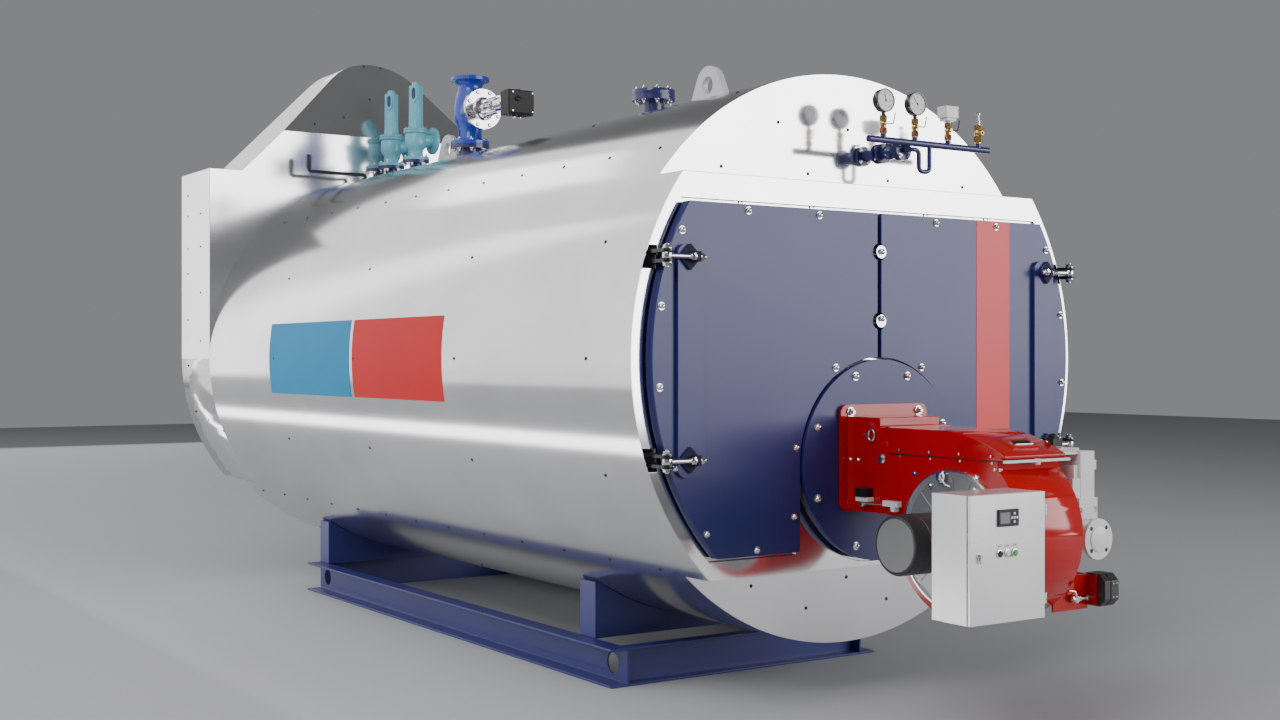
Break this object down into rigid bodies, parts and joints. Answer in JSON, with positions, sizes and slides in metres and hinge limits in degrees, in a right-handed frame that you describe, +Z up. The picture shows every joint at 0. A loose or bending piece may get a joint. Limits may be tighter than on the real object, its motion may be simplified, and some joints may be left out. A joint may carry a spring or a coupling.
{
  "type": "industrial fire-tube boiler",
  "caption": "Horizontal steam boiler on a steel base with hinged smokebox doors, rear flue casing, valves and gauges on top, and a gas burner with its control cabinet.",
  "frame": {"origin": "on the floor, under the middle of the front cross beam of the base", "axes": "+X to the right seen from the burner's side, +Y along the boiler to the rear, +Z up"},
  "size_m": [2.55, 7.095, 3.6573],
  "materials": {
    "shell_grey": "glossy light grey cladding",
    "panel_white": "glossy white paint",
    "door_navy": "semi-gloss navy paint",
    "frame_violet": "semi-gloss blue-violet paint",
    "burner_red": "glossy red paint",
    "valve_blue": "glossy blue paint",
    "valve_teal": "light teal paint",
    "pipe_navy": "dark blue paint",
    "vessel_steel": "mill steel with primer",
    "lug_grey": "light grey paint",
    "bright_steel": "bright plated steel",
    "stainless": "turned stainless steel",
    "brass": "plain brass",
    "black_metal": "black paint",
    "black_plastic": "matt black housing",
    "motor_grey": "dark grey motor jacket",
    "disc_grey": "grey sheet",
    "cabinet_grey": "light grey powder coat",
    "gas_white": "white paint",
    "lining": "refractory lining board",
    "gauge_case": "plated gauge case"
  },
  "bodies": {
    "boiler": {"long_beams": "frame_violet", "cross_beams": "frame_violet", "saddles": "frame_violet", "pressure_vessel": "vessel_steel", "tube_plate": "vessel_steel", "rear_end_plate": "vessel_steel", "cladding": "shell_grey", "upper_front_panel": "panel_white", "lower_front_panel": "shell_grey", "door_frame": "panel_white", "smokebox_wall": "panel_white", "seam_clamps": "bright_steel", "hinge_brackets": "black_metal", "furnace_mouth": "lining", "burner_disc": "door_navy", "rear_casing": "shell_grey", "rear_hood": "shell_grey", "flue_collar": "black_metal", "lifting_lugs": "lug_grey", "crown_nozzles": "pipe_navy", "blind_cover": "pipe_navy", "steam_valve_body": "valve_blue", "steam_valve_bonnet": "stainless", "steam_valve_actuator": "black_plastic", "safety_valves": "valve_teal", "vent_pipe": "black_metal", "instrument_header": "pipe_navy", "isolating_valve": "pipe_navy", "gauge_cocks": "brass", "pressure_gauges": "gauge_case", "pressure_switch": "gas_white", "drain_valve": "brass", "burner_gasket": "black_metal", "burner_flange": "burner_red", "burner_head": "burner_red", "fan_scroll": "burner_red", "burner_hood": "burner_red", "fan_side_disc": "disc_grey", "fan_motor": "motor_grey", "cabinet_body": "cabinet_grey", "cabinet_brackets": "gas_white", "gas_valve_block": "gas_white", "gas_feed_pipe": "gas_white", "servo_bracket": "burner_red", "gas_servo": "black_plastic"},
    "left_door": {"left_door": "door_navy", "left_door_lining": "lining", "left_eye_bolts": "bright_steel"},
    "right_door": {"right_door": "door_navy", "right_door_lining": "lining", "right_eye_bolts": "bright_steel"},
    "cabinet_door": {"cabinet_door": "cabinet_grey"}
  },
  "joints": [
    {"name": "left_door_hinge", "type": "hinge", "parent": "boiler", "child": "left_door", "pos_m": [-1.169, -1.01, 1.52], "axis": [0, 0, -1], "range_deg": [0, 110]},
    {"name": "right_door_hinge", "type": "hinge", "parent": "boiler", "child": "right_door", "pos_m": [1.169, -1.01, 1.52], "axis": [0, 0, 1], "range_deg": [0, 110]},
    {"name": "cabinet_door_hinge", "type": "hinge", "parent": "boiler", "child": "cabinet_door", "pos_m": [-0.231, -2.1085, 0.7975], "axis": [0, 0, 1], "range_deg": [0, 120]}
  ]
}
